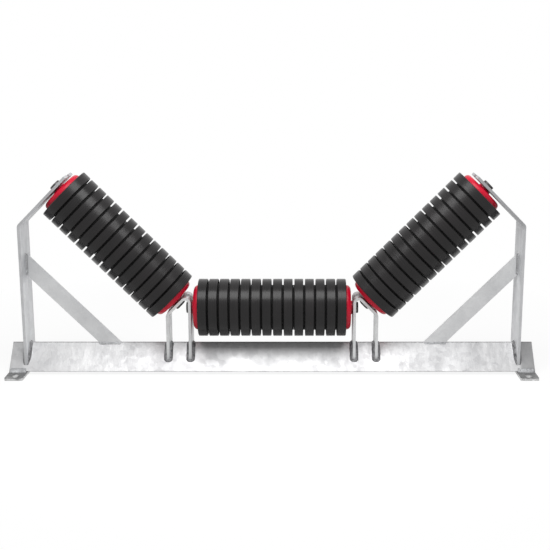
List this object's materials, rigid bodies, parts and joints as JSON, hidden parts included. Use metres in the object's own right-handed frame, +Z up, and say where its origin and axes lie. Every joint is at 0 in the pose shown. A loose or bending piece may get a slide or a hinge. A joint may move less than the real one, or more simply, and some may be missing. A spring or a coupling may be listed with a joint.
{
  "type": "troughing idler set",
  "caption": "Troughed conveyor idler set with rubber-ringed impact rolls on fixed shafts, held in open slots by a welded, galvanised frame.",
  "frame": {"origin": "on the floor under the middle of the frame", "axes": "+X across the belt along the base, +Y along the belt, +Z up"},
  "size_m": [1.1602, 0.198, 0.4393],
  "materials": {
    "galvanised": "satin",
    "weld_bead": "satin",
    "rubber": "matte",
    "red_plastic": "satin",
    "dark_steel": "satin",
    "shaft_steel": "satin",
    "bearing_steel": "polished"
  },
  "bodies": {
    "frame": {"base_angle": "galvanised", "foot_plate_left": "galvanised", "foot_plate_right": "galvanised", "wing_bracket_left": "galvanised", "wing_bracket_right": "galvanised", "centre_bracket_left": "galvanised", "centre_bracket_right": "galvanised", "brace_left": "galvanised", "brace_right": "galvanised", "wing_bracket_welds": "weld_bead", "centre_bracket_welds": "weld_bead", "brace_welds": "weld_bead", "foot_welds": "weld_bead", "left_shaft": "shaft_steel", "left_inner_races": "bearing_steel", "left_shaft_seals": "red_plastic", "left_circlips": "shaft_steel", "left_dust_boots": "red_plastic", "centre_shaft": "shaft_steel", "centre_inner_races": "bearing_steel", "centre_shaft_seals": "red_plastic", "centre_circlips": "shaft_steel", "centre_dust_boots": "red_plastic", "right_shaft": "shaft_steel", "right_inner_races": "bearing_steel", "right_shaft_seals": "red_plastic", "right_circlips": "shaft_steel", "right_dust_boots": "red_plastic"},
    "left_roll": {"left_rubber_rings": "rubber", "left_shell": "dark_steel", "left_end_caps": "red_plastic", "left_bearing_housings": "dark_steel", "left_outer_races": "bearing_steel", "left_rotating_seals": "red_plastic"},
    "left_bearing_balls": {"left_balls": "bearing_steel", "left_ball_cages": "bearing_steel"},
    "centre_roll": {"centre_rubber_rings": "rubber", "centre_shell": "dark_steel", "centre_end_caps": "red_plastic", "centre_bearing_housings": "dark_steel", "centre_outer_races": "bearing_steel", "centre_rotating_seals": "red_plastic"},
    "centre_bearing_balls": {"centre_balls": "bearing_steel", "centre_ball_cages": "bearing_steel"},
    "right_roll": {"right_rubber_rings": "rubber", "right_shell": "dark_steel", "right_end_caps": "red_plastic", "right_bearing_housings": "dark_steel", "right_outer_races": "bearing_steel", "right_rotating_seals": "red_plastic"},
    "right_bearing_balls": {"right_balls": "bearing_steel", "right_ball_cages": "bearing_steel"}
  },
  "joints": [
    {"name": "left_roll_spin", "type": "hinge", "parent": "frame", "child": "left_roll", "pos_m": [-0.33706, 0, 0.28024], "axis": [0.7071, 0, -0.7071], "continuous": true},
    {"name": "centre_roll_spin", "type": "hinge", "parent": "frame", "child": "centre_roll", "pos_m": [0, 0, 0.14062], "axis": [1, 0, 0], "continuous": true},
    {"name": "right_roll_spin", "type": "hinge", "parent": "frame", "child": "right_roll", "pos_m": [0.33706, 0, 0.28024], "axis": [0.7071, 0, 0.7071], "continuous": true},
    {"name": "left_ball_orbit", "type": "hinge", "parent": "frame", "child": "left_bearing_balls", "pos_m": [-0.33706, 0, 0.28024], "axis": [0.7071, 0, -0.7071], "continuous": true},
    {"name": "centre_ball_orbit", "type": "hinge", "parent": "frame", "child": "centre_bearing_balls", "pos_m": [0, 0, 0.14062], "axis": [1, 0, 0], "continuous": true},
    {"name": "right_ball_orbit", "type": "hinge", "parent": "frame", "child": "right_bearing_balls", "pos_m": [0.33706, 0, 0.28024], "axis": [0.7071, 0, 0.7071], "continuous": true}
  ],
  "couplings": [
    {"joint": "left_ball_orbit", "follows": "left_roll_spin", "ratio": 0.6026},
    {"joint": "centre_ball_orbit", "follows": "centre_roll_spin", "ratio": 0.6026},
    {"joint": "right_ball_orbit", "follows": "right_roll_spin", "ratio": 0.6026}
  ]
}
